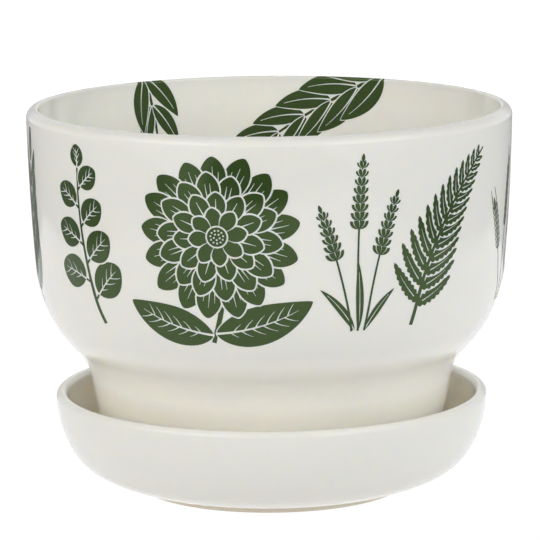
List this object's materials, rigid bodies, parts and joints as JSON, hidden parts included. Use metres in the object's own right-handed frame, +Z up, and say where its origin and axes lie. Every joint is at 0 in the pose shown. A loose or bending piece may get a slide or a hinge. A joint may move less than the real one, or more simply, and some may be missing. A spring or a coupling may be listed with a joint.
{
  "type": "flower pot with saucer",
  "caption": "Small glazed ceramic flower pot with a rounded rim, undercut shoulder and drained foot, standing loose in its own deep round saucer.",
  "frame": {"origin": "middle of the saucer's foot ring, on the surface that the saucer stands on", "axes": "+Z up along the common axis of pot and saucer; -Y is the front that the picture shows"},
  "size_m": [0.145, 0.145, 0.1155],
  "materials": {
    "glaze": "glossy ivory white glaze",
    "bare_clay": "unglazed fired clay on the rings that the pieces stand on",
    "print": "dark green print under the glaze"
  },
  "bodies": {
    "saucer": {"saucer": "glaze"},
    "pot": {"pot": "glaze"}
  },
  "joints": [
    {"name": "pot_lift", "type": "slide", "parent": "saucer", "child": "pot", "axis": [0, 0, 1], "range_m": [0, 0.12]}
  ]
}
